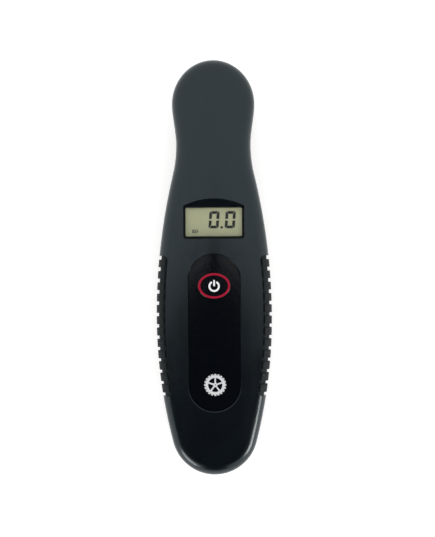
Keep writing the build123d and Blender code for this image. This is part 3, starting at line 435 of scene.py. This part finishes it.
DIGIT_WIDE, DIGIT_HIGH, DIGIT_BASE, SLANT = 3.65, 6.2, DISPLAY_LOW.y / MM + 4.25, 0.073
STROKE, CLIP, GAP, OUTER_BREAK, INNER_BREAK = 1.0, 0.42, 0.03, 0.2, 0.36
TENS_LEFT, ONES_LEFT, POINT_X, POINT_RISE, POINT_RADIUS = -1.95, 3.88, 2.86, 0.36, 0.46
SEGMENT_LIFT, SEGMENT_THICK = 0.01, 0.02


def zero_bars():
    """Outlines of the six lit bars of a zero, from its lower left corner."""
    wide, high, middle = DIGIT_WIDE, DIGIT_HIGH, DIGIT_HIGH / 2
    top = [
        (CLIP + GAP, high),
        (wide - CLIP - GAP, high),
        (wide - STROKE - GAP, high - STROKE),
        (STROKE + GAP, high - STROKE),
    ]
    upper_left = [
        (0, middle + OUTER_BREAK),
        (0, high - CLIP),
        (0.7 * CLIP, high - 0.3 * CLIP),
        (STROKE, high - STROKE - GAP),
        (STROKE, middle + INNER_BREAK),
    ]

    def flip_x(outline):
        return [(wide - x, y) for x, y in outline]

    def flip_y(outline):
        return [(x, high - y) for x, y in outline]

    lower_left = flip_y(upper_left)
    return [top, flip_y(top), upper_left, lower_left, flip_x(upper_left), flip_x(lower_left)]


def lay_on_display(work, outline, corner):
    """Put a slanted outline on the display's face."""
    shape = [(corner[0] + x + SLANT * y, corner[1] + y) for x, y in outline]
    low = DISPLAY_TOP + SEGMENT_LIFT
    slab(work, shape, low, low + SEGMENT_THICK)


def display_digits():
    """The reading 0.0: two zeros with their bars apart, and the point between them."""
    for name, left in (("digit_tens", TENS_LEFT), ("digit_ones", ONES_LEFT)):
        work = bmesh.new()
        for outline in zero_bars():
            lay_on_display(work, outline, (left, DIGIT_BASE))
        piece(name, finish_flat(name, work), "housing", SEGMENT)
    work = bmesh.new()
    dot = ellipse_line(POINT_RADIUS, POINT_RADIUS, (0, 0), 20)
    lay_on_display(work, dot, (POINT_X, DIGIT_BASE + POINT_RISE))
    piece("digit_point", finish_flat("digit_point", work), "housing", SEGMENT)


def display_sign():
    """A small battery sign in the display's lower left corner: outline, tip and two cells."""
    left, low = -7.8, DISPLAY_LOW.y / MM + 2.62
    wide, high, line = 1.9, 1.2, 0.22
    tip_wide, tip_high, cell_wide, cell_high = 0.24, 0.44, 0.36, 0.48
    cells_at, cell_pitch = 0.4, 0.58
    bars = [
        (left, low, wide, line),
        (left, low + high - line, wide, line),
        (left, low, line, high),
        (left + wide - line, low, line, high),
        (left + wide, low + (high - tip_high) / 2, tip_wide, tip_high),
        (left + cells_at, low + (high - cell_high) / 2, cell_wide, cell_high),
        (left + cells_at + cell_pitch, low + (high - cell_high) / 2, cell_wide, cell_high),
    ]
    # Bars that cross end at slightly different heights, so that no two faces share a plane.
    first_top, step = 0.025, 0.001
    work = bmesh.new()
    for number, (x, y, size_x, size_y) in enumerate(bars):
        outline = [(x, y), (x + size_x, y), (x + size_x, y + size_y), (x, y + size_y)]
        slab(work, outline, DISPLAY_TOP + SEGMENT_LIFT, DISPLAY_TOP + first_top + step * number)
    piece("display_sign", finish_flat("display_sign", work), "housing", SEGMENT)


def display_edge_shade():
    """A black border under the window lens, darkening the display's edges where the window's walls shade
    them: painted shade.
    """
    low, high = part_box("window_lens")
    edge, sides, foot, head = 0.06, 0.75, 0.85, 0.5
    outer_corner, inner_corner, lift, thickness = 0.9, 0.4, 0.02, 0.03
    left, right, bottom, top = low.x / MM, high.x / MM, low.y / MM, high.y / MM
    outer = rounded_rectangle(left + edge, bottom + edge, right - edge, top - edge, outer_corner)
    inner = rounded_rectangle(left + sides, bottom + foot, right - sides, top - head, inner_corner)
    under = low.z / MM + lift
    over = under + thickness
    work = bmesh.new()
    rings = []
    for outline, z in ((outer, under), (inner, under), (inner, over), (outer, over)):
        rings.append([work.verts.new((x * MM, y * MM, z * MM)) for x, y in outline])
    for first, second in zip(rings, rings[1:] + rings[:1]):
        count = len(first)
        for number in range(count):
            after = (number + 1) % count
            work.faces.new((first[number], first[after], second[after], second[number]))
    # Painted shade: a black sheet under the lens round the display's edges, standing in for the shade of
    # the window's walls.
    piece("display_edge_shade", finish_flat("display_edge_shade", work), "housing", EDGE_SHADE_BLACK)


# ---------------------------------------------------------------- stage

def floor():
    """A plain white light table just under the object; clear when seen from below."""
    half_side, drop = 3.0, 0.0002
    work = bmesh.new()
    bmesh.ops.create_grid(work, x_segments=8, y_segments=8, size=half_side)
    bmesh.ops.translate(work, verts=work.verts, vec=(0, 0, -drop))
    mesh = bpy.data.meshes.new("studio_floor")
    work.to_mesh(mesh)
    work.free()
    ground = bpy.data.objects.new("studio_floor", mesh)
    bpy.context.scene.collection.objects.link(ground)
    made = material("studio_paper", (0.9, 0.9, 0.9), 0.9, specular=0.0)
    tint(made, noise(made, 3, 2), (0.89, 0.89, 0.89), (0.91, 0.91, 0.91))
    shader = made.node_tree.nodes["Principled BSDF"]
    shader.inputs["Emission Color"].default_value = (1.0, 0.96, 0.94, 1)
    shader.inputs["Emission Strength"].default_value = 0.42
    tree = made.node_tree
    side = tree.nodes.new("ShaderNodeNewGeometry")
    clear = tree.nodes.new("ShaderNodeBsdfTransparent")
    choose = tree.nodes.new("ShaderNodeMixShader")
    tree.links.new(side.outputs["Backfacing"], choose.inputs[0])
    tree.links.new(shader.outputs["BSDF"], choose.inputs[1])
    tree.links.new(clear.outputs["BSDF"], choose.inputs[2])
    tree.links.new(choose.outputs["Shader"], tree.nodes["Material Output"].inputs["Surface"])
    ground.data.materials.append(made)
    ground.visible_glossy = False


def dark_card(name, outline):
    """A black card that only glossy reflections see."""
    work = bmesh.new()
    work.faces.new([work.verts.new(corner) for corner in outline])
    card = bpy.data.objects.new(name, finish_flat(name, work))
    bpy.context.scene.collection.objects.link(card)
    card.data.materials.append(material(name, (0.002, 0.002, 0.003), 0.9))
    card.visible_camera = False
    card.visible_diffuse = False
    card.visible_shadow = False
    card.visible_transmission = False


def dark_cards():
    """The dark side of the studio: round the camera, over the lower end, and beyond it."""
    height = 1.02
    tip = [(0.045, 0.075), (0.06, 0.02), (0.2, 0.0), (0.45, -0.02)]
    wing = [(0.75, -0.08), (1.25, -0.12), (2.6, -0.5), (2.6, -1.6)]
    half = tip + wing
    over = [(x, y, height) for x, y in half] + [(-x, y, height) for x, y in reversed(half)]
    dark_card("overhead_card", over)
    wide, back, low = 0.42, -1.2, 0.12
    end = [(-wide, back, low), (wide, back, low), (wide, back, height), (-wide, back, height)]
    dark_card("end_card", end)


def area_light(name, place, aim, wide, high, power, colour):
    """A soft rectangular light pointed at a place."""
    data = bpy.data.lights.new(name, "AREA")
    data.shape = "RECTANGLE"
    data.size = wide
    data.size_y = high
    data.energy = power
    data.color = colour
    lamp = bpy.data.objects.new(name, data)
    lamp.location = place
    lamp.rotation_euler = (Vector(aim) - Vector(place)).to_track_quat("-Z", "Y").to_euler()
    bpy.context.scene.collection.objects.link(lamp)


def studio():
    """White surroundings, soft low lights beside the lower end, the floor and the dark cards."""
    world = bpy.data.worlds.new("studio")
    world.use_nodes = True
    background = world.node_tree.nodes["Background"]
    background.inputs["Color"].default_value = (0.965, 0.99, 1.0, 1)
    background.inputs["Strength"].default_value = 1.0
    bpy.context.scene.world = world
    warm, aim = (1.0, 0.93, 0.88), (0, -0.05, 0.012)
    area_light("soft_left", (-0.72, -0.80, 0.19), aim, 0.5, 0.2, 3.4, warm)
    area_light("soft_right", (0.97, -0.50, 0.21), aim, 0.45, 0.26, 4.6, warm)
    floor()
    dark_cards()


def camera():
    """Straight above, with 194.7 mm in view lengthways at the height of the joint line."""
    data = bpy.data.cameras.new("camera")
    data.sensor_width = 36.0
    distance, covered, plane = 1.0, 0.1947, 0.012
    aside, along, roll = 0.00125, -0.0004, -0.32
    data.lens = data.sensor_width * distance / covered
    data.clip_start = 0.01
    eye = bpy.data.objects.new("camera", data)
    eye.location = (aside, along, plane + distance)
    eye.rotation_euler = (0, 0, math.radians(roll))
    bpy.context.scene.collection.objects.link(eye)
    bpy.context.scene.camera = eye


bpy.context.scene.view_settings.view_transform = "Standard"
studio()
camera()
key_marks()
panel_mark()
display_digits()
display_sign()
display_edge_shade()
